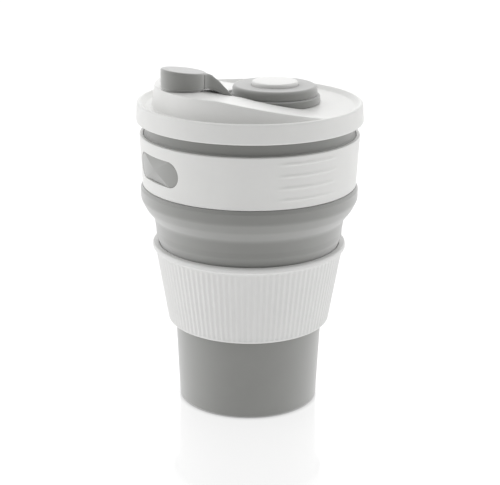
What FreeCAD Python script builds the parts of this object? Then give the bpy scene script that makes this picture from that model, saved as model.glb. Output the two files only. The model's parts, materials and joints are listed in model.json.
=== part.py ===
"""Collapsible travel cup with a screw lid, a flip stopper and a ribbed heat sleeve.

Frame: millimetres, +Z up, origin at the centre of the base's underside. The drinking spout points
spout_angle degrees round from -X towards -Y. Parts of the lid and collar are drawn with the spout
towards -X and then turned about Z by their Placement. The collar's window points window_angle
degrees round from -X towards -Y.
"""
import FreeCAD, Part
import math
import os

import Sketcher

DOC = FreeCAD.newDocument("collapsible_travel_cup")
ON_AXIS = "0"

# name, value in mm (degrees for angles), what it is
DIMENSIONS = [
    ("spout_angle", 26.5, "turn of the lid about Z, degrees"),
    ("window_angle", 32.6, "turn of the collar about Z, degrees"),
    # silicone base cup
    ("base_foot_r", 27.7, "outer radius at the table"),
    ("base_rim_r", 29.15, "outer radius at the upper rim"),
    ("base_rim_z", 39.0, "height of the upper rim"),
    ("base_wall", 2.1, "wall thickness"),
    ("base_floor", 3.2, "floor thickness"),
    ("foot_recess_r", 22.5, "radius of the recess under the floor"),
    ("foot_recess_z", 0.8, "depth of the recess under the floor"),
    ("foot_recess_lean", 0.5, "how far the wall of that recess leans out"),
    ("foot_round", 2.0, "rounding of the outer foot edge"),
    ("floor_round", 4.0, "rounding inside the floor corner"),
    # silicone middle ring
    ("mid_foot_r", 34.1, "outer radius at the lower rim"),
    ("mid_foot_z", 56.0, "height of the lower rim"),
    ("mid_seat_r", 36.1, "outer radius just inside the sleeve's top"),
    ("mid_seat_z", 66.3, "height where it leaves the sleeve"),
    ("mid_band_r", 37.5, "outer radius of the band above the sleeve"),
    ("mid_band_z", 70.4, "lower edge of that band"),
    ("mid_band_h", 1.6, "height of that band"),
    ("mid_swell_r", 38.0, "outer radius between the band and the upper rim"),
    ("mid_swell_z", 74.4, "height of that place"),
    ("mid_top_r", 38.35, "outer radius at the upper rim"),
    ("mid_top_z", 77.5, "height of the upper rim"),
    ("mid_wall", 1.9, "wall thickness"),
    # silicone folding webs
    ("web_wall", 1.1, "thickness"),
    ("web_inset", 0.3, "how far the lower web stands back from the rims it joins"),
    ("web_low_r", 39.7, "outer radius of the upper web's lowest bend"),
    ("web_low_z", 79.5, "height of that bend"),
    ("web_mid_r", 41.8, "outer radius of its middle bend"),
    ("web_mid_z", 82.05, "height of that bend"),
    ("web_high_r", 43.15, "outer radius of its highest bend"),
    ("web_high_z", 84.6, "height of that bend"),
    ("web_shift", 0.5, "how much higher a bend lies on the inside than on the outside"),
    # silicone upper ring
    ("upper_foot_z", 86.5, "lower edge of the upper ring"),
    ("bulge_r", 43.5, "outer radius of the bulge under the collar"),
    ("bulge_belly_z", 89.5, "height up to which the bulge is upright"),
    ("bulge_top_r", 43.0, "outer radius at the top of the bulge"),
    ("bulge_top_z", 90.6, "height of the top of the bulge"),
    ("bulge_wall", 1.3, "wall thickness of the bulge"),
    ("bulge_in_z", 89.1, "height up to which the bulge is upright inside"),
    ("collar_ledge_z", 91.0, "ledge that the collar stands on"),
    ("throat_r", 40.0, "inner radius between bulge and neck ring"),
    ("throat_z", 92.2, "height where the throat begins"),
    ("cuff_r", 41.5, "outer radius of the cuff between collar and lid"),
    ("cuff_lip_z", 120.4, "top of the cuff's lip"),
    ("cuff_round", 0.8, "rounding of the lip"),
    # hard neck ring inside the silicone
    ("neck_in_r", 38.9, "bore radius"),
    ("neck_out_r", 40.6, "outer radius"),
    ("neck_foot_z", 99.0, "lower edge"),
    ("neck_top_z", 118.4, "upper edge"),
    # screw thread between lid and neck ring, two starts
    ("thread_pitch", 3.0, "distance between neighbouring ridges"),
    ("thread_starts", 2, "number of starts"),
    ("thread_crest_in", 37.8, "crest radius of the ridges in the neck ring"),
    ("thread_crest_out", 38.5, "crest radius of the ridges on the lid"),
    ("thread_root_w", 1.4, "width of a ridge at its root"),
    ("thread_crest_w", 0.7, "width of a ridge at its crest"),
    ("thread_rise", 4.5, "height that one ridge climbs"),
    ("thread_embed", 0.3, "depth of a ridge's root inside its wall"),
    ("thread_top_gap", 2.2, "from the neck ring's top down to the end of its ridges"),
    ("thread_foot_gap", 0.4, "from the lid's skirt foot up to the start of its ridges"),
    # hard collar
    ("collar_foot_z", 91.1, "lower edge"),
    ("collar_top_z", 111.6, "upper edge"),
    ("collar_foot_r", 42.7, "outer radius at the lower edge"),
    ("collar_top_r", 43.75, "outer radius at the upper edge"),
    ("collar_foot_in_r", 41.4, "inner radius at the lower edge"),
    ("collar_top_in_r", 42.2, "inner radius at the upper edge"),
    ("collar_round", 0.45, "rounding of its edges"),
    ("window_z", 101.5, "height of the window's centre"),
    ("window_r", 5.15, "radius of the window's ends"),
    ("window_half", 8.85, "from the window's centre to the centre of each end"),
    ("patch_depth", 0.3, "how far the silicone patch in the window lies below the collar's surface"),
    ("patch_arc", 37.4, "arc of that patch, degrees"),
    ("patch_round", 5.0, "rounding of its corners"),
    ("grip_rise", 0.35, "how far a grip line stands out"),
    ("grip_embed", 0.4, "depth of its root inside the collar"),
    ("grip_w", 1.3, "width of a grip line at its root"),
    ("grip_crest_w", 0.4, "width of a grip line at its crest"),
    ("grip_gap", 4.65, "distance between grip lines"),
    ("grip_z", 94.7, "height of the lowest grip line"),
    ("grip_arc", 36.0, "arc of a grip line, degrees"),
    ("grip_turn", 269.4, "direction of the grip lines with the window at 180, degrees"),
    # heat sleeve
    ("sleeve_foot_z", 33.8, "lower edge"),
    ("sleeve_top_z", 66.8, "upper edge"),
    ("sleeve_foot_r", 32.8, "outer radius at the lower edge"),
    ("sleeve_wall_r", 37.9, "outer radius under the lip"),
    ("sleeve_lip_z", 64.4, "lower edge of the lip"),
    ("sleeve_lip_r", 39.05, "outer radius of the lip"),
    ("sleeve_lip_rise", 0.7, "height in which the wall turns out to the lip"),
    ("sleeve_foot_in_r", 30.8, "inner radius at the lower edge"),
    ("sleeve_top_in_r", 36.45, "inner radius at the upper edge"),
    ("sleeve_round", 0.8, "rounding of the lip's upper edge"),
    ("sleeve_foot_round", 1.2, "rounding of the lower edge"),
    # lid
    ("lid_foot_z", 116.6, "lower edge of the rim"),
    ("lid_foot_r", 45.0, "outer radius of that edge"),
    ("lid_rim_r", 44.3, "outer radius at the top of the rim"),
    ("lid_rim_z", 124.3, "top of the rim"),
    ("lid_rim_round", 0.9, "rounding of the rim's upper edge"),
    ("lid_lip_r", 43.2, "inner radius of the lip that the rim forms round the lid"),
    ("lid_lip_lean", 2.0, "how far the inside of the lip leans in"),
    ("lid_floor_z", 122.8, "level floor inside the lip"),
    ("lid_rim_in_r", 42.7, "inner radius of the rim"),
    ("lid_seat_z", 121.9, "underside above the gasket"),
    ("lid_ceiling_z", 121.2, "underside inside the thread skirt"),
    ("dome_foot_r", 38.7, "outer radius of the raised part at its foot"),
    ("dome_lean", 1.5, "how far its wall leans in"),
    ("dome_spare", 1.0, "extra height of the raised part before its top is cut"),
    ("pad_z", 131.1, "height of the level pad round the drinking hole"),
    ("slope_run_a", 26.5, "from the cup's axis to where the slope leaves the pad, towards the spout"),
    ("slope_run_b", 13.8, "from the axis to where the slope meets the floor, away from the spout"),
    ("lid_top_wall", 3.0, "thickness of the sloping top"),
    ("hollow_lean", 0.4, "how far the hollow under the raised part leans in"),
    ("skirt_out_r", 37.4, "outer radius of the thread skirt"),
    ("skirt_in_r", 35.4, "inner radius of the thread skirt"),
    ("skirt_foot_z", 110.5, "lower edge of the thread skirt"),
    ("hole_x", 28.5, "from the axis to the drinking hole"),
    ("hole_r", 5.5, "radius of the drinking hole"),
    ("knob_x", 11.0, "from the axis to the knob, away from the spout"),
    ("recess_r", 18.5, "radius of the recess that the knob sits in"),
    ("recess_z", 122.7, "floor of that recess"),
    ("recess_wall", 3.6, "wall left round the recess"),
    ("post_hole_r", 3.2, "radius of the hole for the rivet"),
    ("channel_w", 12.0, "width of the strap's channel"),
    ("channel_foot_z", 123.9, "floor of the channel where it meets the recess"),
    ("channel_run", 15.5, "from the axis to the channel's far end"),
    # gasket under the lid
    ("gasket_in_r", 37.9, "inner radius"),
    ("gasket_out_r", 41.3, "outer radius"),
    ("gasket_foot_z", 120.5, "lower face"),
    ("gasket_top_z", 121.85, "upper face"),
    # knob stack
    ("eyelet_r", 18.0, "radius of the lower silicone disc"),
    ("eyelet_top_z", 125.75, "top of the lower disc"),
    ("grip_disc_r", 16.9, "radius of the upper silicone disc"),
    ("grip_disc_foot_z", 125.8, "underside of the upper disc"),
    ("grip_disc_top_z", 129.6, "top of the upper disc"),
    ("grip_disc_round", 1.1, "rounding of its upper edge"),
    ("button_seat_r", 9.8, "radius of the seat for the button"),
    ("button_seat_z", 129.0, "floor of that seat"),
    ("button_r", 9.2, "radius of the rivet's head"),
    ("button_top_z", 131.2, "top of the rivet's head"),
    ("button_round", 0.7, "rounding of the head"),
    ("stem_r", 3.0, "radius of the rivet's stem"),
    ("stem_foot_z", 118.6, "end of the stem"),
    ("barb_r", 3.6, "radius of the barb at the stem's end"),
    ("barb_len", 1.0, "length of the barb's lead-in"),
    ("washer_r", 7.0, "radius of the washer under the lid"),
    ("washer_foot_z", 120.0, "underside of the washer"),
    ("washer_top_z", 121.15, "top of the washer"),
    # stopper flap
    ("plug_r", 8.8, "radius of the plug's cap"),
    ("plug_foot_z", 131.15, "underside of the cap"),
    ("plug_high_z", 139.3, "top of the cap on the outside"),
    ("plug_low_z", 137.3, "top of the cap on the knob side"),
    ("plug_round", 0.7, "rounding of the cap's top edge"),
    ("nozzle_r", 5.2, "radius of the nozzle at the cap"),
    ("nozzle_len", 3.4, "length of the nozzle"),
    ("nozzle_taper", 16.0, "taper of the nozzle, degrees"),
    ("hinge_x", 8.3, "from the axis to the strap's fold line"),
    ("hinge_z", 125.2, "height of the fold line"),
    ("hinge_flat", 1.2, "level stretch of strap and channel beyond the fold line"),
    ("strap_w", 11.0, "width of the strap"),
    ("strap_in", 2.0, "how far the strap reaches into the cap"),
    ("strap_lift", 0.1, "from the cap's underside up to the strap's"),
    ("strap_clear", 0.5, "gap between strap and slope at the channel's end"),
    ("strap_root", 0.7, "half the strap's thickness at the fold line"),
    ("strap_end", 0.4, "from the fold line to the strap's end"),
    ("strap_top_z", 136.7, "top of the strap inside the cap"),
    ("shoulder_x", 18.7, "from the axis to where the strap's top leaves the cap"),
    ("shoulder_z", 136.3, "height of that place"),
    ("back_x", 15.5, "from the axis to where the strap's top steepens"),
    ("back_z", 133.7, "height of that place"),
    ("waist_x", 11.7, "from the axis to the strap's waist"),
    ("waist_z", 129.4, "height of the strap's top at its waist"),
    ("taper_x", 9.7, "from the axis to where the strap becomes thin"),
    ("taper_z", 126.9, "height of the strap's top there"),
    # helpers
    ("loose_gap", 0.1, "running clearance of loose parts"),
    ("tool_overlap", 0.5, "how far a cutting shape begins before what it cuts"),
    ("tool_reach", 5.0, "how far a cutting shape ends beyond what it cuts"),
]


def make_sheet():
    sheet = DOC.addObject("Spreadsheet::Sheet", "dims")
    for row, (alias, value, meaning) in enumerate(DIMENSIONS, start=1):
        sheet.set(f"A{row}", str(value))
        sheet.setAlias(f"A{row}", alias)
        sheet.set(f"B{row}", meaning)
    DOC.recompute()
    return sheet


SHEET = make_sheet()


def expand(text):
    """Writes a short formula such as 'base_rim_r - base_wall' as a sheet expression."""
    words = []
    for word in text.replace("(", "( ").replace(")", " )").split():
        is_name = word[0].isalpha() and word not in ("sin(", "cos(", "tan(")
        words.append("dims." + word if is_name else word)
    return " ".join(words)


def value(text):
    """The number a formula has at the moment."""
    found = SHEET.evalExpression(expand(text))
    return float(getattr(found, "Value", found))


def new_body(label):
    body = DOC.addObject("PartDesign::Body", label)
    body.Label = label
    return body


def origin_plane(body, role):
    return next(f for f in body.Origin.OriginFeatures if f.Role == role)


def new_sketch(body, name, role="XZ_Plane", lift=None):
    """A sketch on one of the body's origin planes. lift is a formula for its height above that plane."""
    sketch = body.newObject("Sketcher::SketchObject", name)
    sketch.AttachmentSupport = (origin_plane(body, role), [""])
    sketch.MapMode = "FlatFace"
    if lift:
        sketch.setExpression(".AttachmentOffset.Base.z", expand(lift))
    return sketch


def pin(sketch, geometry, point, x, y):
    """Ties one point of a sketch to formulas for its two coordinates."""
    for kind, text, axis in (("DistanceX", x, -2), ("DistanceY", y, -1)):
        if text == ON_AXIS:
            sketch.addConstraint(Sketcher.Constraint("PointOnObject", geometry, point, axis))
        else:
            index = sketch.addConstraint(
                Sketcher.Constraint(kind, -1, 1, geometry, point, value(text)))
            sketch.setExpression(f"Constraints[{index}]", expand(text))


def add_polygon(sketch, corners):
    """A closed outline through corners given as pairs of formulas."""
    points = [FreeCAD.Vector(value(x), value(y), 0) for x, y in corners]
    first = sketch.GeometryCount
    count = len(points)
    for i in range(count):
        sketch.addGeometry(Part.LineSegment(points[i], points[(i + 1) % count]), False)
    for i in range(count):
        following = first + (i + 1) % count
        sketch.addConstraint(Sketcher.Constraint("Coincident", first + i, 2, following, 1))
    for i, (x, y) in enumerate(corners):
        pin(sketch, first + i, 1, x, y)


def add_circle(sketch, x, y, radius):
    centre = FreeCAD.Vector(value(x), value(y), 0)
    index = sketch.addGeometry(Part.Circle(centre, FreeCAD.Vector(0, 0, 1), value(radius)), False)
    pin(sketch, index, 3, x, y)
    size = sketch.addConstraint(Sketcher.Constraint("Radius", index, value(radius)))
    sketch.setExpression(f"Constraints[{size}]", expand(radius))


def add_stadium(sketch, half, y, radius):
    """A slot outline with round ends, lying along the sketch's x axis."""
    height, end, size = value(y), value(half), value(radius)
    normal = FreeCAD.Vector(0, 0, 1)
    arcs = []
    for side, start in ((1, -0.5 * math.pi), (-1, 0.5 * math.pi)):
        circle = Part.Circle(FreeCAD.Vector(side * end, height, 0), normal, size)
        arcs.append(sketch.addGeometry(Part.ArcOfCircle(circle, start, start + math.pi), False))
    for here, there in ((arcs[0], arcs[1]), (arcs[1], arcs[0])):
        tail = sketch.getPoint(here, 2)
        head = sketch.getPoint(there, 1)
        line = sketch.addGeometry(Part.LineSegment(tail, head), False)
        sketch.addConstraint(Sketcher.Constraint("Tangent", here, 2, line, 1))
        sketch.addConstraint(Sketcher.Constraint("Coincident", line, 2, there, 1))
    pin(sketch, arcs[0], 3, half, y)
    pin(sketch, arcs[1], 3, f"-1 * {half}", y)
    index = sketch.addConstraint(Sketcher.Constraint("Radius", arcs[0], size))
    sketch.setExpression(f"Constraints[{index}]", expand(radius))


def revolve(body, name, corners):
    """Turns an outline of (radius, height) formulas about the body's Z axis."""
    sketch = new_sketch(body, name + "_outline")
    add_polygon(sketch, corners)
    DOC.recompute()
    turned = body.newObject("PartDesign::Revolution", name)
    turned.Profile = sketch
    turned.ReferenceAxis = (sketch, ["V_Axis"])
    turned.Angle = 360
    DOC.recompute()
    return turned


def extrude(body, kind, name, sketch, length=None, symmetric=False, reverse=False, taper=None):
    """A Pad or Pocket of a sketch. No length means through everything."""
    DOC.recompute()
    feature = body.newObject("PartDesign::" + kind, name)
    feature.Profile = sketch
    feature.SideType = "Symmetric" if symmetric else "One side"
    feature.Reversed = reverse
    if length is None:
        feature.Type = "ThroughAll"
    else:
        feature.setExpression("Length", expand(length))
    if taper:
        feature.setExpression("TaperAngle", expand(taper))
    volume_before = body.Shape.Volume if not body.Shape.isNull() else 0.0
    DOC.recompute()
    changed = body.Shape.Volume - volume_before
    if (changed >= 0) == (kind == "Pocket"):
        raise RuntimeError(f"{name} doesn't change {body.Label} the way a {kind} should")
    return feature


def add_fillet(body, name, edges, radius):
    base = body.Tip
    fillet = body.newObject("PartDesign::Fillet", name)
    fillet.Base = (base, edges)
    fillet.setExpression("Radius", expand(radius))
    DOC.recompute()


def round_rings(body, radius, rings):
    """Fillets the circular edges that lie at the given (radius, height) formulas."""
    wanted = [(value(r), value(z)) for r, z in rings]
    names = []
    for number, edge in enumerate(body.Shape.Edges, start=1):
        if edge.Curve.TypeId != "Part::GeomCircle":
            continue
        ring = (edge.Curve.Radius, edge.Curve.Center.z)
        if any(math.dist(ring, goal) < 0.02 for goal in wanted):
            names.append(f"Edge{number}")
    if len(names) < len(wanted):
        raise RuntimeError(f"{body.Label}: found {len(names)} of {len(wanted)} edges to round")
    add_fillet(body, f"{body.Label}_{radius}", names, radius)


def add_thread(body, root_r, crest_r, foot_z):
    """Helical ridges round the Z axis, from root_r to crest_r, starting at foot_z."""
    outward = 1 if value(crest_r) > value(root_r) else -1
    root = f"{root_r} - {outward} * thread_embed"
    middle = f"{foot_z} + 0.5 * thread_root_w"
    sketch = new_sketch(body, body.Label + "_ridge")
    add_polygon(sketch, [
        (root, f"{middle} - 0.5 * thread_root_w"),
        (crest_r, f"{middle} - 0.5 * thread_crest_w"),
        (crest_r, f"{middle} + 0.5 * thread_crest_w"),
        (root, f"{middle} + 0.5 * thread_root_w"),
    ])
    DOC.recompute()
    helix = body.newObject("PartDesign::AdditiveHelix", body.Label + "_helix")
    helix.Profile = sketch
    helix.ReferenceAxis = (sketch, ["V_Axis"])
    helix.Mode = "pitch-height-angle"
    helix.setExpression("Pitch", expand("thread_pitch * thread_starts"))
    helix.setExpression("Height", expand("thread_rise"))
    DOC.recompute()
    starts = body.newObject("PartDesign::PolarPattern", body.Label + "_starts")
    starts.Originals = [helix]
    starts.Axis = (sketch, ["V_Axis"])
    starts.Angle = 360
    starts.setExpression("Occurrences", expand("thread_starts"))
    body.Tip = starts
    DOC.recompute()


def spout_placement(away="0", angle="spout_angle"):
    """Turns a part about Z so that -X points at the spout, and shifts it away from the spout."""
    turn = FreeCAD.Rotation(FreeCAD.Vector(0, 0, 1), value(angle))
    shift = turn.multVec(FreeCAD.Vector(value(away), 0, 0))
    return FreeCAD.Placement(shift, turn)


# ---------------------------------------------------------------- silicone cup

def make_base_cup():
    body = new_body("base_cup")
    revolve(body, "base_wall_and_floor", [
        (ON_AXIS, "foot_recess_z"),
        ("foot_recess_r", "foot_recess_z"),
        ("foot_recess_r + foot_recess_lean", ON_AXIS),
        ("base_foot_r", ON_AXIS),
        ("base_rim_r", "base_rim_z"),
        ("base_rim_r - base_wall", "base_rim_z"),
        ("base_foot_r - base_wall", "base_floor"),
        (ON_AXIS, "base_floor"),
    ])
    round_rings(body, "foot_round", [("base_foot_r", "0")])
    round_rings(body, "floor_round", [("base_foot_r - base_wall", "base_floor")])
    return body


def make_lower_web():
    body = new_body("lower_web")
    revolve(body, "lower_web_ring", [
        ("base_rim_r - web_inset", "base_rim_z"),
        ("mid_foot_r - web_inset", "mid_foot_z"),
        ("mid_foot_r - web_inset - web_wall", "mid_foot_z"),
        ("base_rim_r - web_inset - web_wall", "base_rim_z"),
    ])
    return body


def make_mid_ring():
    body = new_body("mid_ring")
    revolve(body, "mid_ring_wall", [
        ("mid_foot_r", "mid_foot_z"),
        ("mid_seat_r", "mid_seat_z"),
        ("mid_band_r", "mid_band_z"),
        ("mid_band_r", "mid_band_z + mid_band_h"),
        ("mid_swell_r", "mid_swell_z"),
        ("mid_top_r", "mid_top_z"),
        ("mid_top_r - mid_wall", "mid_top_z"),
        ("mid_band_r - mid_wall", "mid_band_z"),
        ("mid_seat_r - mid_wall", "mid_seat_z"),
        ("mid_foot_r - mid_wall", "mid_foot_z"),
    ])
    return body


def make_upper_web():
    body = new_body("upper_web")
    revolve(body, "upper_web_ring", [
        ("mid_top_r", "mid_top_z"),
        ("web_low_r", "web_low_z"),
        ("web_mid_r", "web_mid_z"),
        ("web_high_r", "web_high_z"),
        ("bulge_r", "upper_foot_z"),
        ("bulge_r - web_wall", "upper_foot_z"),
        ("web_high_r - web_wall", "web_high_z + web_shift"),
        ("web_mid_r - web_wall", "web_mid_z + web_shift"),
        ("web_low_r - web_wall", "web_low_z + web_shift"),
        ("mid_top_r - web_wall", "mid_top_z"),
    ])
    return body


def make_upper_ring():
    """Bulge, throat and cuff: the stiff top of the silicone cup, wrapped round the neck ring."""
    body = new_body("upper_ring")
    revolve(body, "upper_ring_wall", [
        ("bulge_r", "upper_foot_z"),
        ("bulge_r", "bulge_belly_z"),
        ("bulge_top_r", "bulge_top_z"),
        ("collar_foot_in_r - loose_gap", "collar_ledge_z"),
        ("collar_top_in_r - loose_gap", "collar_top_z"),
        ("cuff_r", "collar_top_z + loose_gap"),
        ("cuff_r", "cuff_lip_z"),
        ("neck_in_r", "cuff_lip_z"),
        ("neck_in_r", "neck_top_z"),
        ("neck_out_r", "neck_top_z"),
        ("neck_out_r", "neck_foot_z"),
        ("throat_r", "neck_foot_z"),
        ("throat_r", "throat_z"),
        ("bulge_r - bulge_wall", "bulge_in_z"),
        ("bulge_r - bulge_wall", "upper_foot_z"),
    ])
    round_rings(body, "cuff_round", [("cuff_r", "cuff_lip_z"), ("neck_in_r", "cuff_lip_z")])
    add_window_patch(body)
    return body


def collar_wall_r(height):
    """Formula for the collar's outer radius at a height."""
    lean = "( collar_top_r - collar_foot_r ) / ( collar_top_z - collar_foot_z )"
    return f"collar_foot_r + ( {height} - collar_foot_z ) * {lean}"


def turn_sketch(sketch, direction):
    """Turns a sketch of (radius, height) about Z to a direction in degrees, given as a formula."""
    for axis, part in (("x", "0"), ("y", "1"), ("z", "0")):
        sketch.setExpression(f".AttachmentOffset.Rotation.Axis.{axis}", part)
    sketch.setExpression(".AttachmentOffset.Rotation.Angle", expand(direction))


def add_window_patch(body):
    """Raised patch that fills the collar's window and keeps the collar from turning."""
    sketch = new_sketch(body, "patch_outline")
    turn_sketch(sketch, "180 + window_angle")
    low = "window_z - window_r + loose_gap"
    high = "window_z + window_r - loose_gap"
    add_polygon(sketch, [
        ("neck_out_r", low),
        (f"{collar_wall_r(low)} - patch_depth", low),
        (f"{collar_wall_r(high)} - patch_depth", high),
        ("neck_out_r", high),
    ])
    DOC.recompute()
    patch = body.newObject("PartDesign::Revolution", "window_patch")
    patch.Profile = sketch
    patch.ReferenceAxis = (sketch, ["V_Axis"])
    patch.Midplane = True
    patch.setExpression("Angle", expand("patch_arc"))
    DOC.recompute()
    names = []
    for number, edge in enumerate(body.Shape.Edges, start=1):
        heights = [vertex.Z for vertex in edge.Vertexes]
        radii = [math.hypot(vertex.X, vertex.Y) for vertex in edge.Vertexes]
        flat = max(heights) - min(heights) < 0.01 and edge.Curve.TypeId == "Part::GeomLine"
        if flat and value(low) - 0.01 < heights[0] < value(high) + 0.01 and max(radii) > value("cuff_r"):
            names.append(f"Edge{number}")
    if len(names) != 4:
        raise RuntimeError(f"found {len(names)} of 4 patch corners to round")
    add_fillet(body, "patch_corners", names, "patch_round")


# ---------------------------------------------------------------- hard rings

def make_neck_ring():
    body = new_body("neck_ring")
    revolve(body, "neck_ring_wall", [
        ("neck_in_r", "neck_foot_z + loose_gap"),
        ("neck_out_r - loose_gap", "neck_foot_z + loose_gap"),
        ("neck_out_r - loose_gap", "neck_top_z - loose_gap"),
        ("neck_in_r", "neck_top_z - loose_gap"),
    ])
    add_thread(body, "neck_in_r", "thread_crest_in", "neck_top_z - thread_top_gap - thread_rise")
    return body


def make_collar():
    body = new_body("collar")
    revolve(body, "collar_wall", [
        ("collar_foot_in_r", "collar_foot_z"),
        ("collar_foot_r", "collar_foot_z"),
        ("collar_top_r", "collar_top_z"),
        ("collar_top_in_r", "collar_top_z"),
    ])
    round_rings(body, "collar_round", [
        ("collar_foot_r", "collar_foot_z"), ("collar_top_r", "collar_top_z")])
    window = new_sketch(body, "window_outline", "YZ_Plane")
    add_stadium(window, "window_half", "window_z", "window_r")
    extrude(body, "Pocket", "window", window)
    add_grip_lines(body)
    body.Placement = spout_placement(angle="window_angle")
    return body


def add_grip_lines(body):
    """Low ridges on two opposite sides of the collar, to hold it by when the cup is folded."""
    sketch = new_sketch(body, "grip_outline")
    turn_sketch(sketch, "grip_turn")
    for line in range(4):
        middle = f"grip_z + {line} * grip_gap"
        wall_r = collar_wall_r(middle)
        add_polygon(sketch, [
            (f"{wall_r} - grip_embed", f"{middle} - 0.5 * grip_w"),
            (f"{wall_r} + grip_rise", f"{middle} - 0.5 * grip_crest_w"),
            (f"{wall_r} + grip_rise", f"{middle} + 0.5 * grip_crest_w"),
            (f"{wall_r} - grip_embed", f"{middle} + 0.5 * grip_w"),
        ])
    DOC.recompute()
    lines = body.newObject("PartDesign::Revolution", "grip_lines")
    lines.Profile = sketch
    lines.ReferenceAxis = (sketch, ["V_Axis"])
    lines.Midplane = True
    lines.setExpression("Angle", expand("grip_arc"))
    DOC.recompute()
    sides = body.newObject("PartDesign::PolarPattern", "grip_sides")
    sides.Originals = [lines]
    sides.Axis = (sketch, ["V_Axis"])
    sides.Angle = 360
    sides.Occurrences = 2
    body.Tip = sides
    DOC.recompute()


def make_sleeve():
    body = new_body("sleeve")
    revolve(body, "sleeve_wall", [
        ("sleeve_foot_in_r", "sleeve_foot_z"),
        ("sleeve_foot_r", "sleeve_foot_z"),
        ("sleeve_wall_r", "sleeve_lip_z"),
        ("sleeve_lip_r", "sleeve_lip_z + sleeve_lip_rise"),
        ("sleeve_lip_r", "sleeve_top_z"),
        ("sleeve_top_in_r", "sleeve_top_z"),
    ])
    round_rings(body, "sleeve_foot_round", [("sleeve_foot_r", "sleeve_foot_z")])
    round_rings(body, "sleeve_round", [("sleeve_lip_r", "sleeve_top_z")])
    return body


# ---------------------------------------------------------------- lid

def slope_z(run):
    """Formula for the height of the lid's slope, run millimetres from the axis towards the spout."""
    fall = "( pad_z - lid_floor_z ) / ( slope_run_a + slope_run_b )"
    return f"pad_z - ( slope_run_a - {run} ) * {fall}"


def slope_line(drop):
    """All that lies above the lid's top seen from the side: level pad, slope, level floor.

    drop lowers the whole outline."""
    reach = "lid_foot_r + tool_reach"
    return [
        (f"-1 * ( {reach} )", f"pad_z - {drop}"),
        ("-1 * slope_run_a", f"pad_z - {drop}"),
        ("slope_run_b", f"lid_floor_z - {drop}"),
        (reach, f"lid_floor_z - {drop}"),
        (reach, "pad_z + tool_reach"),
        (f"-1 * ( {reach} )", "pad_z + tool_reach"),
    ]


def make_lid_outside():
    """Raised part, rim with its lip, and thread skirt, with everything cut that is open from above."""
    body = new_body("lid_outside")
    revolve(body, "dome_turned", [
        (ON_AXIS, "lid_ceiling_z"),
        ("skirt_out_r", "lid_ceiling_z"),
        ("skirt_out_r", "lid_seat_z"),
        ("dome_foot_r", "lid_seat_z"),
        ("dome_foot_r", "lid_floor_z"),
        ("dome_foot_r - dome_lean", "pad_z + dome_spare"),
        (ON_AXIS, "pad_z + dome_spare"),
    ])
    above = new_sketch(body, "slope_outline")
    add_polygon(above, slope_line("0"))
    extrude(body, "Pocket", "slope", above, symmetric=True)
    revolve(body, "rim_turned", [
        ("skirt_in_r", "lid_floor_z - tool_overlap"),
        ("skirt_in_r", "skirt_foot_z"),
        ("skirt_out_r", "skirt_foot_z"),
        ("skirt_out_r", "lid_seat_z"),
        ("lid_rim_in_r", "lid_seat_z"),
        ("lid_rim_in_r", "lid_foot_z"),
        ("lid_foot_r", "lid_foot_z"),
        ("lid_rim_r", "lid_rim_z"),
        ("lid_lip_r", "lid_rim_z"),
        ("lid_lip_r - lid_lip_lean", "lid_floor_z"),
        ("dome_foot_r", "lid_floor_z"),
        ("dome_foot_r", "lid_floor_z - tool_overlap"),
    ])
    round_rings(body, "lid_rim_round", [("lid_rim_r", "lid_rim_z")])
    recess = new_sketch(body, "recess_outline", "XY_Plane", lift="recess_z")
    add_circle(recess, "knob_x", ON_AXIS, "recess_r")
    clear_depth = "pad_z + tool_reach - recess_z"
    extrude(body, "Pocket", "recess", recess, length=clear_depth, reverse=True)
    channel = new_sketch(body, "channel_outline")
    add_polygon(channel, [
        (ON_AXIS, "channel_foot_z"),
        ("-1 * hinge_x - hinge_flat", "channel_foot_z"),
        ("-1 * channel_run", slope_z("channel_run")),
        ("-1 * channel_run", "pad_z + tool_reach"),
        (ON_AXIS, "pad_z + tool_reach"),
    ])
    extrude(body, "Pocket", "channel", channel, length="channel_w", symmetric=True)
    holes = new_sketch(body, "hole_outline", "XY_Plane")
    add_circle(holes, "-1 * hole_x", ON_AXIS, "hole_r")
    add_circle(holes, "knob_x", ON_AXIS, "post_hole_r")
    extrude(body, "Pocket", "holes", holes, reverse=True)
    add_thread(body, "skirt_out_r", "thread_crest_out", "skirt_foot_z + thread_foot_gap")
    return body


def make_lid_hollow():
    """The space under the raised part, kept clear of the knob's recess."""
    body = new_body("lid_hollow")
    revolve(body, "hollow_turned", [
        (ON_AXIS, "lid_ceiling_z - tool_overlap"),
        ("skirt_in_r", "lid_ceiling_z - tool_overlap"),
        ("skirt_in_r", "lid_floor_z"),
        ("skirt_in_r - hollow_lean", "pad_z + dome_spare"),
        (ON_AXIS, "pad_z + dome_spare"),
    ])
    above = new_sketch(body, "hollow_slope_outline")
    add_polygon(above, slope_line("lid_top_wall"))
    extrude(body, "Pocket", "hollow_slope", above, symmetric=True)
    boss = new_sketch(body, "hollow_boss_outline", "XY_Plane", lift="lid_ceiling_z - 2 * tool_overlap")
    add_circle(boss, "knob_x", ON_AXIS, "recess_r + recess_wall")
    extrude(body, "Pocket", "hollow_boss", boss, length="pad_z - lid_ceiling_z + tool_reach", reverse=True)
    return body


def make_lid_shell():
    lid = DOC.addObject("Part::Cut", "lid_shell")
    lid.Label = "lid_shell"
    lid.Base = make_lid_outside()
    lid.Tool = make_lid_hollow()
    DOC.recompute()
    lid.Placement = spout_placement()
    return lid


def make_lid_gasket():
    body = new_body("lid_gasket")
    revolve(body, "gasket_ring", [
        ("gasket_in_r", "gasket_foot_z"),
        ("gasket_out_r", "gasket_foot_z"),
        ("gasket_out_r", "gasket_top_z"),
        ("gasket_in_r", "gasket_top_z"),
    ])
    return body


# ---------------------------------------------------------------- knob stack

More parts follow.
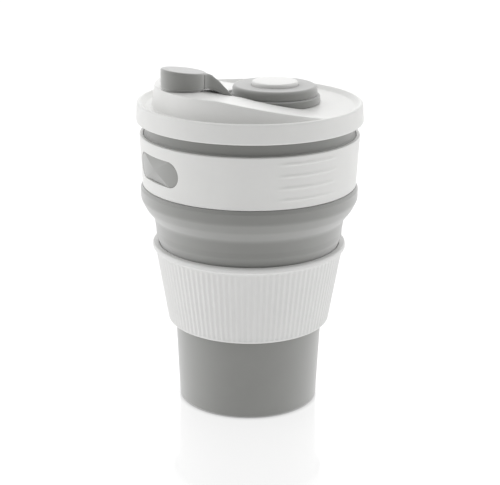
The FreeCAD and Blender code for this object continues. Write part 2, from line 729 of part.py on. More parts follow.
def make_stopper_eyelet():
    body = new_body("stopper_eyelet")
    revolve(body, "eyelet_ring", [
        ("post_hole_r", "recess_z + 0.5 * loose_gap"),
        ("eyelet_r", "recess_z + 0.5 * loose_gap"),
        ("eyelet_r", "eyelet_top_z"),
        ("post_hole_r", "eyelet_top_z"),
    ])
    body.Placement = spout_placement("knob_x")
    return body


def make_grip_disc():
    body = new_body("grip_disc")
    revolve(body, "grip_disc_ring", [
        ("post_hole_r", "grip_disc_foot_z"),
        ("grip_disc_r", "grip_disc_foot_z"),
        ("grip_disc_r", "grip_disc_top_z"),
        ("button_seat_r", "grip_disc_top_z"),
        ("button_seat_r", "button_seat_z"),
        ("post_hole_r", "button_seat_z"),
    ])
    round_rings(body, "grip_disc_round", [("grip_disc_r", "grip_disc_top_z")])
    body.Placement = spout_placement("knob_x")
    return body


def make_rivet_button():
    body = new_body("rivet_button")
    revolve(body, "rivet_turned", [
        (ON_AXIS, "stem_foot_z"),
        ("stem_r", "stem_foot_z"),
        ("barb_r", "stem_foot_z + barb_len"),
        ("stem_r", "washer_foot_z - 0.5 * loose_gap"),
        ("stem_r", "button_seat_z + 0.5 * loose_gap"),
        ("button_r", "button_seat_z + 0.5 * loose_gap"),
        ("button_r", "button_top_z"),
        (ON_AXIS, "button_top_z"),
    ])
    round_rings(body, "button_round", [("button_r", "button_top_z")])
    body.Placement = spout_placement("knob_x")
    return body


def make_rivet_washer():
    body = new_body("rivet_washer")
    revolve(body, "washer_ring", [
        ("stem_r + loose_gap", "washer_foot_z"),
        ("washer_r", "washer_foot_z"),
        ("washer_r", "washer_top_z"),
        ("stem_r + loose_gap", "washer_top_z"),
    ])
    body.Placement = spout_placement("knob_x")
    return body


# ---------------------------------------------------------------- stopper

def make_stopper_flap():
    """Plug cap, nozzle and strap: one silicone moulding that lifts about the strap's fold line."""
    body = new_body("stopper_flap")
    cap = new_sketch(body, "cap_outline", "XY_Plane", lift="plug_foot_z")
    add_circle(cap, "-1 * hole_x", ON_AXIS, "plug_r")
    extrude(body, "Pad", "cap", cap, length="plug_high_z + tool_overlap - plug_foot_z")
    above = new_sketch(body, "cap_top_outline")
    add_polygon(above, [
        ("-1 * ( hole_x + plug_r )", "plug_high_z"),
        ("-1 * ( hole_x - plug_r )", "plug_low_z"),
        ("-1 * ( hole_x - plug_r )", "plug_high_z + tool_reach"),
        ("-1 * ( hole_x + plug_r )", "plug_high_z + tool_reach"),
    ])
    extrude(body, "Pocket", "cap_top", above, symmetric=True)
    round_cap(body)
    strap = new_sketch(body, "strap_outline")
    inside_x = "-1 * ( hole_x - plug_r ) - strap_in"
    end_x = "-1 * hinge_x - strap_end"
    add_polygon(strap, [
        (inside_x, "strap_top_z"),
        ("-1 * shoulder_x", "shoulder_z"),
        ("-1 * back_x", "back_z"),
        ("-1 * waist_x", "waist_z"),
        ("-1 * taper_x", "taper_z"),
        (end_x, "hinge_z + strap_root"),
        (end_x, "hinge_z - strap_root"),
        ("-1 * hinge_x - hinge_flat", "hinge_z - strap_root"),
        ("-1 * channel_run", slope_z("channel_run") + " + strap_clear"),
        (inside_x, "plug_foot_z + strap_lift"),
    ])
    extrude(body, "Pad", "strap", strap, length="strap_w", symmetric=True)
    nozzle = new_sketch(body, "nozzle_outline", "XY_Plane", lift="plug_foot_z")
    add_circle(nozzle, "-1 * hole_x", ON_AXIS, "nozzle_r")
    extrude(body, "Pad", "nozzle", nozzle, length="nozzle_len", reverse=True, taper="-1 * nozzle_taper")
    body.Placement = spout_placement()
    return body


def round_cap(body):
    """Rounds the tilted upper edge of the plug's cap."""
    names = []
    for number, edge in enumerate(body.Shape.Edges, start=1):
        if edge.Curve.TypeId == "Part::GeomEllipse":
            names.append(f"Edge{number}")
    add_fillet(body, "cap_round", names, "plug_round")


def write_parts(parts):
    os.makedirs("parts", exist_ok=True)
    DOC.recompute()
    for obj in DOC.Objects:
        if "Invalid" in obj.State or "Error" in obj.State:
            raise RuntimeError(f"{obj.Name} failed to compute: {obj.State}")
    for part in parts:
        shape = part.Shape
        if shape.isNull() or not shape.isValid() or len(shape.Solids) != 1:
            raise RuntimeError(f"{part.Label} isn't one valid solid")
        box = shape.BoundBox
        print(f"{part.Label:16s} {shape.Volume:9.1f} mm3  z {box.ZMin:6.2f} to {box.ZMax:6.2f}")
    for part in parts:
        part.Shape.exportStep(f"parts/{part.Label}.step")


write_parts([
    make_base_cup(),
    make_lower_web(),
    make_mid_ring(),
    make_sleeve(),
    make_upper_web(),
    make_upper_ring(),
    make_collar(),
    make_neck_ring(),
    make_lid_gasket(),
    make_lid_shell(),
    make_stopper_eyelet(),
    make_grip_disc(),
    make_rivet_button(),
    make_rivet_washer(),
    make_stopper_flap(),
])
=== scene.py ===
"""Looks for a collapsible travel cup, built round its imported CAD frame.

Lengths here are millimetres in the cup's own frame, +Z up, origin under the base, and become metres
when a mesh is made. Parts of the lid are drawn with the spout towards -X and then turned about Z.
A piece is made of rings: closed rows of points, joined to their neighbours by quads.
"""
import json
import math

import bmesh
import bpy
import numpy as np
from mathutils import Matrix, Vector


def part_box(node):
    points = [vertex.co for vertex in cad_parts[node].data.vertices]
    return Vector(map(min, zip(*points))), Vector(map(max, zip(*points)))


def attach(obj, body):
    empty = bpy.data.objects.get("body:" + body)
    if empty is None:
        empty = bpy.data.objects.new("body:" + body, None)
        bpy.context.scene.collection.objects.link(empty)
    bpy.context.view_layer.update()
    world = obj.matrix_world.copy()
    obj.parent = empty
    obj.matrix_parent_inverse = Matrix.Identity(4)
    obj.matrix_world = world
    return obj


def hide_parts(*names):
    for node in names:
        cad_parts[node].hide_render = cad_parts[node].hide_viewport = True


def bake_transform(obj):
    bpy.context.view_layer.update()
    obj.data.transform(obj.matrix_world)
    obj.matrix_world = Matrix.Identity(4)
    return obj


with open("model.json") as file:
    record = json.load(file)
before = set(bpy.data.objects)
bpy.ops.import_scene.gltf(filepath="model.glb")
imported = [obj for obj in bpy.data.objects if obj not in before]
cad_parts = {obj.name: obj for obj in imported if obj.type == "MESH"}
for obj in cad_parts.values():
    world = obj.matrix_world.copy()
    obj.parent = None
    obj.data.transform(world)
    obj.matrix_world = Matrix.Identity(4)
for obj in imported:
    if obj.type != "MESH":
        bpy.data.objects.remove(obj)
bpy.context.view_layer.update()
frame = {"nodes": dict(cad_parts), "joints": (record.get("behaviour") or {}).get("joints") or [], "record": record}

MM = 0.001
COLUMNS = 240


# ---------------------------------------------------------------- places from the frame

def turned_size(node):
    """Outer radius, foot height and top height of a turned CAD node."""
    low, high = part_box(node)
    return 500 * (high.x - low.x), 1000 * low.z, 1000 * high.z


def centre_of(node):
    """Where a CAD node's upright axis stands, as x and y."""
    low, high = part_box(node)
    return 500 * (low.x + high.x), 500 * (low.y + high.y)


flip = next(joint for joint in frame["joints"] if joint["name"] == "stopper_flip")
spout_turn = math.atan2(-flip["pos_m"][1], -flip["pos_m"][0])
hinge_x = 1000 * math.hypot(flip["pos_m"][0], flip["pos_m"][1])
hinge_z = 1000 * flip["pos_m"][2]
knob_x = math.hypot(*centre_of("rivet_button"))


def towards_spout(points, turn=spout_turn):
    """Turns points from the lid's own directions into the cup's."""
    cos, sin = math.cos(turn), math.sin(turn)
    x, y = points[:, 0], points[:, 1]
    return np.column_stack([x * cos - y * sin, x * sin + y * cos, points[:, 2]])


# ---------------------------------------------------------------- outlines and rings

def rounded(corners, closed=True, step=12):
    """An outline through corners (across, height, rounding), with each rounding as an arc.

    step is the largest turn between two points of an arc, in degrees."""
    points = []
    count = len(corners)
    for i, (x, z, radius) in enumerate(corners):
        here = np.array([x, z], float)
        if radius == 0 or (not closed and i in (0, count - 1)):
            points.append(here)
            continue
        back = np.array(corners[i - 1][:2], float) - here
        ahead = np.array(corners[(i + 1) % count][:2], float) - here
        back /= np.linalg.norm(back)
        ahead /= np.linalg.norm(ahead)
        half = 0.5 * math.acos(float(np.clip(back @ ahead, -1, 1)))
        middle = here + (back + ahead) / np.linalg.norm(back + ahead) * radius / math.sin(half)
        start = here + back * radius / math.tan(half) - middle
        end = here + ahead * radius / math.tan(half) - middle
        sweep = math.pi - 2 * half
        arcs = max(2, math.ceil(math.degrees(sweep) / step))
        for k in range(arcs + 1):
            part = sweep * k / arcs
            mixed = math.sin(sweep - part) * start + math.sin(part) * end
            points.append(middle + mixed / math.sin(sweep))
    return np.array(points)


def filled(outline, gap, closed=True):
    """The same outline with extra points wherever two neighbours are more than gap apart."""
    ends = np.vstack([outline, outline[:1]]) if closed else outline
    points = []
    for here, there in zip(ends[:-1], ends[1:]):
        pieces = max(1, math.ceil(np.linalg.norm(there - here) / gap))
        for k in range(pieces):
            points.append(here + (there - here) * k / pieces)
    if not closed:
        points.append(ends[-1])
    return np.array(points)


def ring_at(across, height, angles):
    """A level ring round the cup's axis. across is its radius, or one radius for each angle."""
    return np.column_stack([across * np.cos(angles), across * np.sin(angles), np.full(len(angles), height)])


def turned(outline, columns=COLUMNS, centre=(0, 0)):
    """Rings of an outline of (radius, height) points turned about an upright axis."""
    angles = np.arange(columns) * 2 * math.pi / columns
    rings = []
    for radius, height in outline:
        x = centre[0] + radius * np.cos(angles)
        y = centre[1] + radius * np.sin(angles)
        rings.append(np.column_stack([x, y, np.full(columns, height)]))
    return rings


def soften(path, reach, count, focus=6.0, samples=400):
    """A path with its corners rounded over about reach, as count points, closer where it bends."""
    length = np.concatenate([[0], np.cumsum(np.linalg.norm(np.diff(path, axis=0), axis=1))])
    step = length[-1] / (samples - 1)
    even = np.linspace(0, length[-1], samples)
    dense = np.column_stack([np.interp(even, length, path[:, i]) for i in range(3)])
    width = reach / step
    pad = math.ceil(3 * width)
    kernel = np.exp(-0.5 * (np.arange(-pad, pad + 1) / width) ** 2)
    kernel /= kernel.sum()
    before = 2 * dense[0] - dense[pad:0:-1]
    after = 2 * dense[-1] - dense[-2:-pad - 2:-1]
    long = np.vstack([before, dense, after])
    smooth = np.column_stack([np.convolve(long[:, i], kernel, "valid") for i in range(3)])
    bend = np.zeros(samples)
    bend[1:-1] = np.linalg.norm(np.diff(smooth, 2, axis=0), axis=1) / step ** 2
    bend = np.convolve(bend, kernel, "same")
    crowd = np.concatenate([[0], np.cumsum(1 + focus * 0.5 * (bend[1:] + bend[:-1]))])
    places = np.interp(np.linspace(0, crowd[-1], count), crowd, np.arange(samples))
    return np.column_stack([np.interp(places, np.arange(samples), smooth[:, i]) for i in range(3)])


def smoothstep(value, low, high):
    share = np.clip((value - low) / (high - low), 0, 1)
    return share * share * (3 - 2 * share)


def soft_above(value, floor, reach):
    """value where it is above floor, floor where it is below, with a soft change over +-reach."""
    over = value - floor
    return floor + np.where(over > reach, over, np.where(over < -reach, 0, (over + reach) ** 2 / (4 * reach)))


# ---------------------------------------------------------------- meshes

class Opening:
    """A hole through a ring mesh: a block of its quads, left out on both sides, and the rings of the
    tunnel between the two rims. Columns of the same numbers are used on both sides."""

    def __init__(self, near_rows, far_rows, columns):
        self.near_rows = near_rows
        self.far_rows = far_rows
        self.columns = columns
        low, high = near_rows
        left, right = columns
        rim = [(low, c) for c in range(left, right)]
        rim += [(r, right) for r in range(low, high)]
        rim += [(high, c) for c in range(right, left, -1)]
        rim += [(r, left) for r in range(high, low, -1)]
        self.near_rim = rim
        self.far_rim = [(far_rows[0] + high - r, c) for r, c in rim]
        self.tunnel = []

    def holds(self, row, column):
        in_columns = self.columns[0] <= column < self.columns[1]
        in_rows = any(rows[0] <= row < rows[1] for rows in (self.near_rows, self.far_rows))
        return in_columns and in_rows


def ring_faces(first, second):
    """Quads between two closed rows of vertex numbers."""
    count = len(first)
    return [(first[i], first[(i + 1) % count], second[(i + 1) % count], second[i]) for i in range(count)]


def build(name, rings, poles=None, opening=None):
    """A closed mesh object from rings. The last ring joins the first unless poles closes both ends."""
    columns = len(rings[0])
    rows = len(rings)
    points = [np.vstack(rings)]
    faces = []
    numbers = np.arange(rows * columns).reshape(rows, columns)
    for row in range(rows if poles is None else rows - 1):
        quads = ring_faces(numbers[row], numbers[(row + 1) % rows])
        if opening:
            quads = [quad for column, quad in enumerate(quads) if not opening.holds(row, column)]
        faces += quads
    total = rows * columns
    if poles is not None:
        for ring, pole in ((numbers[0], poles[0]), (numbers[-1], poles[1])):
            points.append(np.array([pole], float))
            faces += [(ring[i], ring[(i + 1) % columns], total) for i in range(columns)]
            total += 1
    if opening:
        previous = [numbers[place] for place in opening.near_rim]
        for ring in opening.tunnel:
            current = list(range(total, total + len(ring)))
            points.append(ring)
            faces += ring_faces(previous, current)
            previous = current
            total += len(ring)
        faces += ring_faces(previous, [numbers[place] for place in opening.far_rim])
    return make_object(name, np.vstack(points), faces)


def make_object(name, points, faces):
    mesh = bpy.data.meshes.new(name)
    mesh.from_pydata((points * MM).tolist(), [], [tuple(int(v) for v in face) for face in faces])
    mesh.shade_smooth()
    piece = bpy.data.objects.new(name, mesh)
    bpy.context.scene.collection.objects.link(piece)
    face_outwards(mesh)
    return piece


def face_outwards(mesh):
    """Turns all faces of a closed mesh the same way round, with normals pointing out."""
    grid = bmesh.new()
    grid.from_mesh(mesh)
    bmesh.ops.recalc_face_normals(grid, faces=grid.faces)
    grid.to_mesh(mesh)
    grid.free()


def even_shading(piece):
    """Lets large faces set the shading, so that flat stretches next to small roundings stay flat."""
    weighted = piece.modifiers.new("even_shading", "WEIGHTED_NORMAL")
    weighted.weight = 60
    weighted.keep_sharp = True


def dress(piece, material):
    piece.data.materials.append(material)
    even_shading(piece)


# ---------------------------------------------------------------- silicone cup

mid_r, mid_foot_z, mid_top_z = turned_size("mid_ring")
bulge_r, bulge_foot_z, cuff_lip_z = turned_size("upper_ring")
base_foot_z, base_rim_z = turned_size("base_cup")[1:]
collar_r, collar_foot_z, collar_top_z = turned_size("collar")
SILICONE_WALL = 1.9
WEB_WALL = 1.1


def silicone_lower(material):
    """Base cup and lower folding web, one moulding from base to middle."""
    foot_r, rim_r, recess_r, floor_z = 28.35, 30.05, 22.5, 3.2
    recess_z, web_top_r = 0.8, 33.85
    outline = rounded([
        (0, recess_z, 0), (recess_r, recess_z, 0.3), (recess_r + 0.6, base_foot_z, 0.3),
        (foot_r, base_foot_z, 1.2),
        (rim_r - 0.25, base_rim_z - 7, 8), (rim_r, base_rim_z, 1.5), (web_top_r, mid_foot_z - 0.05, 0.3),
        (web_top_r - WEB_WALL, mid_foot_z - 0.05, 0.3), (rim_r - WEB_WALL, base_rim_z, 1.5),
        (rim_r - SILICONE_WALL - 0.2, base_rim_z - 3, 2), (foot_r - SILICONE_WALL, floor_z, 4.0),
        (0, floor_z, 0),
    ], closed=False)
    rings = turned(filled(outline, 1.5, closed=False)[1:-1])
    piece = build("silicone_lower", rings, poles=((0, 0, recess_z), (0, 0, floor_z)))
    dress(piece, material)
    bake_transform(piece)
    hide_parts("base_cup", "lower_web")


def silicone_upper(material):
    """Middle ring, upper folding web, bulge, throat and cuff, one moulding from middle to upper."""
    sleeve_top_z = turned_size("sleeve")[2]
    seat_r, band_r, foot_r = 36.1, 37.5, 34.1
    cuff_r, throat_r, neck_in_r, neck_out_r = 41.3, 40.0, 38.9, 40.6
    neck_foot_z, neck_top_z = turned_size("neck_ring")[1:]
    outline = rounded([
        (foot_r, mid_foot_z, 0.4),
        (seat_r, sleeve_top_z - 0.5, 6),
        (band_r, 70.4, 3.0),
        (band_r + 0.1, 72.6, 3.0),
        (mid_r, mid_top_z, 4.0),
        (mid_r + 3.3, mid_top_z + 4.3, 6.0),
        (bulge_r, bulge_foot_z - 0.9, 3.4),
        (bulge_r, bulge_foot_z + 3.2, 1.0),
        (bulge_r - 0.7, collar_foot_z - 0.3, 0.5),
        (41.3, collar_foot_z - 0.1, 0.2),
        (cuff_r + 0.7, collar_top_z - 0.1, 0.1),
        (cuff_r, collar_top_z + 0.2, 0.1),
        (cuff_r, cuff_lip_z, 0.8),
        (neck_in_r, cuff_lip_z, 0.8),
        (neck_in_r, neck_top_z + 0.1, 0.1),
        (neck_out_r, neck_top_z + 0.1, 0.1),
        (neck_out_r, neck_foot_z - 0.1, 0.1),
        (throat_r, neck_foot_z - 0.1, 0.1),
        (throat_r, 92.2, 1.5),
        (bulge_r - 1.3, 89.1, 1.5),
        (bulge_r - 1.3, bulge_foot_z - 0.7, 2.6),
        (mid_r + 2.0, mid_top_z + 4.8, 4.0),
        (mid_r - SILICONE_WALL + 0.4, mid_top_z, 3.0),
        (band_r - SILICONE_WALL, 70.4, 4.0),
        (seat_r - SILICONE_WALL, sleeve_top_z - 0.5, 6.0),
        (foot_r - SILICONE_WALL, mid_foot_z, 0.4),
    ], step=8)
    piece = build("silicone_upper", turned(filled(outline, 1.0)))
    dress(piece, material)
    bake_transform(piece)
    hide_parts("mid_ring", "upper_web", "upper_ring")


# ---------------------------------------------------------------- heat sleeve

def ribbed_sleeve(material):
    """White heat sleeve with fine upright ribs between a plain foot edge and a flared lip."""
    ribs, steps_a_rib, rib_depth = 100, 8, 0.33
    lip_r, foot_z, top_z = turned_size("sleeve")
    foot_r, wall_r, foot_in_r, top_in_r = 32.8, 37.9, 30.8, 36.45
    lip_foot_z, edge_foot, fade = top_z - 2.4, 0.9, 0.5
    outline = filled(rounded([
        (foot_in_r, foot_z, 0.3), (foot_r, foot_z, 1.2), (wall_r, lip_foot_z, 0.5),
        (lip_r, lip_foot_z + 0.7, 0.5), (lip_r, top_z, 0.8), (top_in_r, top_z, 0.3)]), 0.5)
    columns = ribs * steps_a_rib
    angles = np.arange(columns) * 2 * math.pi / columns
    groove = 0.5 - 0.5 * np.cos(ribs * angles)
    lean = (wall_r - foot_r) / (lip_foot_z - foot_z)
    rings = []
    for radius, height in outline:
        outside = radius > foot_r + (height - foot_z) * lean - 0.4
        depth = 0
        if outside:
            depth = rib_depth * smoothstep(height, foot_z + edge_foot, foot_z + edge_foot + fade)
            depth *= 1 - smoothstep(height, lip_foot_z - fade, lip_foot_z)
        across = radius - depth * groove
        rings.append(ring_at(across, height, angles))
    piece = build("ribbed_sleeve", rings)
    dress(piece, material)
    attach(piece, "middle")
    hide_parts("sleeve")


# ---------------------------------------------------------------- collar

def grip_rise(heights, angles):
    """How far the grip lines stand out: four soft lines on two opposite sides, fading at both ends."""
    lowest, gap, half_width, rise = 94.7, 4.65, 0.75, 0.32
    middle, half_arc, fade = math.radians(89.4), math.radians(19), math.radians(7)
    lines = np.zeros_like(heights)
    for line in range(4):
        off = (heights - lowest - line * gap) / half_width
        lines = np.maximum(lines, np.clip(1 - off * off, 0, 1))
    aside = np.abs((angles - middle + math.pi / 2) % math.pi - math.pi / 2)
    return rise * lines * (1 - smoothstep(aside, half_arc - fade, half_arc))


def window_edge(places, half, radius, middle_z):
    """The point of a slot's outline nearest each place, as (across, height), and the way out there."""
    core = np.column_stack([np.clip(places[:, 0], -half, half), np.full(len(places), middle_z)])
    away = places - core
    away /= np.linalg.norm(away, axis=1)[:, None]
    return core + away * radius, away


COLLAR_FOOT_R = 42.7
COLLAR_FOOT_IN_R = 41.4
COLLAR_TOP_IN_R = 42.2
COLLAR_LEAN = (collar_r - COLLAR_FOOT_R) / (collar_top_z - collar_foot_z)
COLLAR_LEAN_IN = (COLLAR_TOP_IN_R - COLLAR_FOOT_IN_R) / (collar_top_z - collar_foot_z)
WINDOW_TURN = math.radians(32.6)
WINDOW_HALF = 8.85
WINDOW_R = 5.15
WINDOW_Z = 101.5


def on_wall(places, depth):
    """Points at (across, height) places on the window's side of the collar.

    depth is 0 at its outer surface and 1 at its inner one."""
    outer = COLLAR_FOOT_R + (places[:, 1] - collar_foot_z) * COLLAR_LEAN
    inner = COLLAR_FOOT_IN_R + (places[:, 1] - collar_foot_z) * COLLAR_LEAN_IN
    radius = outer + (inner - outer) * depth
    return np.column_stack([-np.sqrt(radius ** 2 - places[:, 0] ** 2), places[:, 0], places[:, 1]])


def collar_shell(material):
    """Hard collar with a slot window on the spout's side and grip lines on two other sides."""
    outline = filled(rounded([
        (COLLAR_FOOT_IN_R, collar_foot_z, 0.25), (COLLAR_FOOT_R, collar_foot_z, 0.45),
        (collar_r, collar_top_z, 0.45), (COLLAR_TOP_IN_R, collar_top_z, 0.25)]), 0.25)
    angles = np.arange(COLUMNS) * 2 * math.pi / COLUMNS
    middle = 0.5 * (COLLAR_FOOT_R + COLLAR_FOOT_IN_R)
    rings = []
    for radius, height in outline:
        outside = radius > middle + (height - collar_foot_z) * COLLAR_LEAN + 0.3
        across = radius + (grip_rise(np.full(COLUMNS, height), angles) if outside else 0)
        rings.append(ring_at(across, height, angles))

    margin, edge_round, far_round = 1.8, 0.2, 0.2
    heights = np.array([ring[0, 2] for ring in rings])
    top_row = int(np.argmax(heights))
    low = int(np.argmax(heights > WINDOW_Z - WINDOW_R - margin))
    high = int(np.argmax(heights > WINDOW_Z + WINDOW_R + margin))
    far_high = top_row + int(np.argmax(heights[top_row:] < WINDOW_Z + WINDOW_R + margin))
    reach = math.asin((WINDOW_HALF + WINDOW_R + margin) / COLLAR_FOOT_R) * COLUMNS / (2 * math.pi)
    left = int(COLUMNS / 2 - math.ceil(reach))
    opening = Opening((low, high), (far_high, far_high + high - low), (left, COLUMNS - left))
    rim = np.array([rings[r][c] for r, c in opening.near_rim])
    far_rim = np.array([rings[r][c] for r, c in opening.far_rim])
    edge, away = window_edge(rim[:, 1:], WINDOW_HALF, WINDOW_R, WINDOW_Z)
    far_edge, far_away = window_edge(far_rim[:, 1:], WINDOW_HALF, WINDOW_R, WINDOW_Z)
    wall = COLLAR_FOOT_R - COLLAR_FOOT_IN_R
    for share in (0.25, 0.5, 0.75):
        places = rim[:, 1:] + (edge + away * edge_round - rim[:, 1:]) * share
        opening.tunnel.append(on_wall(places, 0))
    for turn in np.linspace(0, math.pi / 2, 4):
        out = edge_round * (1 - math.sin(turn))
        opening.tunnel.append(on_wall(edge + away * out, edge_round * (1 - math.cos(turn)) / wall))
    for turn in np.linspace(0, math.pi / 2, 4):
        out = far_round * (1 - math.cos(turn))
        opening.tunnel.append(on_wall(far_edge + far_away * out, 1 - far_round * (1 - math.sin(turn)) / wall))
    for share in (0.35, 0.7):
        places = far_edge + far_away * far_round
        opening.tunnel.append(on_wall(places + (far_rim[:, 1:] - places) * share, 1))
    opening.tunnel = [towards_spout(ring, WINDOW_TURN) for ring in opening.tunnel]
    piece = build("collar_shell", [towards_spout(ring, WINDOW_TURN) for ring in rings], opening=opening)
    dress(piece, material)
    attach(piece, "upper")
    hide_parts("collar")


def window_patch(material):
    """Silicone patch that fills the collar's window almost up to its surface."""
    gap, edge_round, depth, foot_depth = 0.08, 0.25, 0.15, 1.25
    turns = np.linspace(-math.pi / 2, math.pi / 2, 40)
    right = np.column_stack([WINDOW_HALF + 0 * turns, WINDOW_Z + 0 * turns])
    cores = np.vstack([right, right * [-1, 1]])
    away = np.column_stack([np.cos(turns), np.sin(turns)])
    away = np.vstack([away, -away])
    middle = np.array([[0, WINDOW_Z]])
    rings = []
    radius = WINDOW_R - gap
    for share in (0.15, 0.35, 0.55, 0.75, 0.9):
        places = middle + (cores + away * (radius - edge_round) - middle) * share
        rings.append(on_wall(places, depth))
    for turn in np.linspace(0, math.pi / 2, 4):
        out = radius - edge_round * (1 - math.sin(turn))
        rings.append(on_wall(cores + away * out, depth + edge_round * (1 - math.cos(turn))))
    for share in (1.0, 0.9, 0.6, 0.3):
        rings.append(on_wall(middle + (cores + away * radius - middle) * share, foot_depth))
    poles = [towards_spout(on_wall(middle, place), WINDOW_TURN)[0] for place in (depth, foot_depth)]
    piece = build("window_patch", [towards_spout(ring, WINDOW_TURN) for ring in rings], poles=poles)
    dress(piece, material)
    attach(piece, "upper")


# ---------------------------------------------------------------- lid

lid_r, skirt_foot_z, pad_z = turned_size("lid_shell")
eyelet_r, eyelet_foot_z, eyelet_top_z = turned_size("stopper_eyelet")
RECESS_Z = eyelet_foot_z - 0.1
LIP_Z = 124.3
FLOOR_Z = 122.8
PAD_EDGE_X = -26.5
SLOPE_FOOT_X = 13.8
SLOPE = (pad_z - FLOOR_Z) / (SLOPE_FOOT_X - PAD_EDGE_X)
CEILING_Z = 121.2
TOP_WALL = 3.0
POST_HOLE_R = 3.2
HOLE_X = -28.5
HOLE_R = 5.5
DOME_FOOT_R = 38.7
SKIRT_IN_R = 35.4


def lid_top(x):
    """Height of the lid's top inside the lip: level pad, slope, level floor."""
    rise = soft_above((SLOPE_FOOT_X - x) * SLOPE, 0, 0.35)
    return FLOOR_Z + (pad_z - FLOOR_Z) - soft_above((pad_z - FLOOR_Z) - rise, 0, 0.3)


def keyhole(grow):
    """Outline of the knob's recess with the strap's channel, every point further out by grow."""
    radius, half_width = eyelet_r + 0.5 + grow, 6.0 + grow
    end_x, corner = -15.0 - grow, 1.2 + 0.6 * grow
    meeting = math.asin(half_width / radius)
    arc = np.linspace(0, math.pi - meeting, 100, endpoint=False)
    around = np.column_stack([knob_x + radius * np.cos(arc), radius * np.sin(arc)])
    side_x = np.linspace(knob_x - radius * math.cos(meeting), end_x + corner, 22, endpoint=False)
    side = np.column_stack([side_x, np.full(22, half_width)])
    bend = np.linspace(math.pi / 2, math.pi, 8, endpoint=False)
    turn = np.column_stack([
        end_x + corner + corner * np.cos(bend), half_width - corner + corner * np.sin(bend)])
    end_y = np.linspace(half_width - corner, 0, 14, endpoint=False)
    end = np.column_stack([np.full(14, end_x), end_y])
    upper = np.vstack([around, side, turn, end, [[end_x, 0]]])
    lower = upper[-2:0:-1] * [1, -1]
    return np.vstack([upper, lower])


def recess_floor(x):
    """Floor under the knob, stepping up into the strap's channel and rising with it."""
    step = 1.25 * smoothstep(-x, 7.0, 7.9)
    return RECESS_Z + step + soft_above((-x - 9.5) * 0.88, 0, 0.2)


def at_height(places, heights):
    return np.column_stack([places, np.broadcast_to(heights, len(places))])


def thread_rise(heights, angles):
    """Two helical ridges round the lid's skirt, running out at their ends."""
    lead, foot, climb, root_w, crest_w, depth = 6.0, skirt_foot_z + 1.1, 4.5, 1.4, 0.7, 1.1
    rise = np.zeros_like(heights)
    for start in (0, math.pi):
        turn = (angles - start) % (2 * math.pi)
        climbed = lead * turn / (2 * math.pi)
        off = np.abs(heights - foot - climbed)
        ridge = np.clip((root_w / 2 - off) / (root_w / 2 - crest_w / 2), 0, 1)
        ends = smoothstep(climbed, 0, 0.3) * (1 - smoothstep(climbed, climb - 0.3, climb))
        rise = np.maximum(rise, ridge * ends)
    return depth * rise


def lid_recess_rings(key, grow):
    """Rings from the underside's post hole, up through it, over the recess floor and up its wall."""
    columns = len(key)
    angles = np.arange(columns) * 2 * math.pi / columns
    hub = np.column_stack([knob_x + POST_HOLE_R * np.cos(angles), POST_HOLE_R * np.sin(angles)])
    rings = [at_height(hub, height) for height in (CEILING_Z, CEILING_Z + 1.1, RECESS_Z - 0.05)]
    top = lid_top(key[:, 0])
    floor = recess_floor(key[:, 0])
    low_round = np.minimum(0.3, 0.3 * (top - floor))[:, None]
    high_round = np.minimum(0.4, 0.5 * (top - floor))[:, None]
    foot = key - grow * low_round
    for share in np.linspace(0.02, 1, 12):
        places = hub + (foot - hub) * share
        rings.append(at_height(places, recess_floor(places[:, 0])))
    for turn in (30, 60, 90):
        sin, cos = math.sin(math.radians(turn)), math.cos(math.radians(turn))
        rings.append(at_height(key - grow * low_round * (1 - sin), floor + low_round[:, 0] * (1 - cos)))
    for turn in (0, 22, 45, 67, 90):
        sin, cos = math.sin(math.radians(turn)), math.cos(math.radians(turn))
        places = key + grow * high_round * (1 - cos)
        rings.append(at_height(places, lid_top(places[:, 0]) - high_round[:, 0] * (1 - sin)))
    return rings


def lid_top_rings(edge, count=88):
    """Rings from the recess's edge over the sloping top, down the leaning wall and up onto the lip."""
    columns = len(edge)
    angles = np.arange(columns) * 2 * math.pi / columns
    lip_foot_r, lip_r, lip_end_r = 41.2, 43.2, 43.5
    paths = []
    for (x, y, _), angle in zip(edge, angles):
        direction = np.array([math.cos(angle), math.sin(angle)])
        height = lid_top(np.array([37.4 * direction[0]]))[0] - FLOOR_Z
        crest = (DOME_FOOT_R - 0.45 - 0.1 * height) * direction
        shares = np.linspace(0, 1, 60)[:, None]
        places = np.array([x, y]) + (crest - np.array([x, y])) * shares
        over = at_height(places, lid_top(places[:, 0]))
        outside = [[*(DOME_FOOT_R * direction), FLOOR_Z], [*(lip_foot_r * direction), FLOOR_Z],
                   [*(lip_r * direction), LIP_Z], [*(lip_end_r * direction), LIP_Z]]
        paths.append(soften(np.vstack([over, outside]), 0.3, count))
    paths = np.array(paths)
    return [paths[:, row] for row in range(1, count)]


def lid_side_rings(columns):
    """Rings of the rim's outside, its inside, the gasket's seat and the threaded skirt."""
    rim_in_r, seat_z, skirt_r, rim_foot_z = 42.7, 121.9, 37.4, 116.6
    outside = rounded([
        (40, LIP_Z, 0), (lid_r - 0.42, LIP_Z, 0.95), (lid_r, rim_foot_z, 0.6), (rim_in_r, rim_foot_z, 0.5),
        (rim_in_r, seat_z, 0.4), (skirt_r, seat_z, 0.4), (skirt_r, skirt_foot_z, 0.4),
        (SKIRT_IN_R, skirt_foot_z, 0.4), (SKIRT_IN_R, CEILING_Z - 1, 0),
    ], closed=False)
    outline = filled(outside[1:], 0.3, closed=False)
    angles = np.arange(columns) * 2 * math.pi / columns
    rings = []
    for radius, height in outline:
        across = np.full(columns, radius)
        if abs(radius - skirt_r) < 0.01:
            across = across + thread_rise(np.full(columns, height), angles)
        rings.append(ring_at(across, height, angles))
    return rings


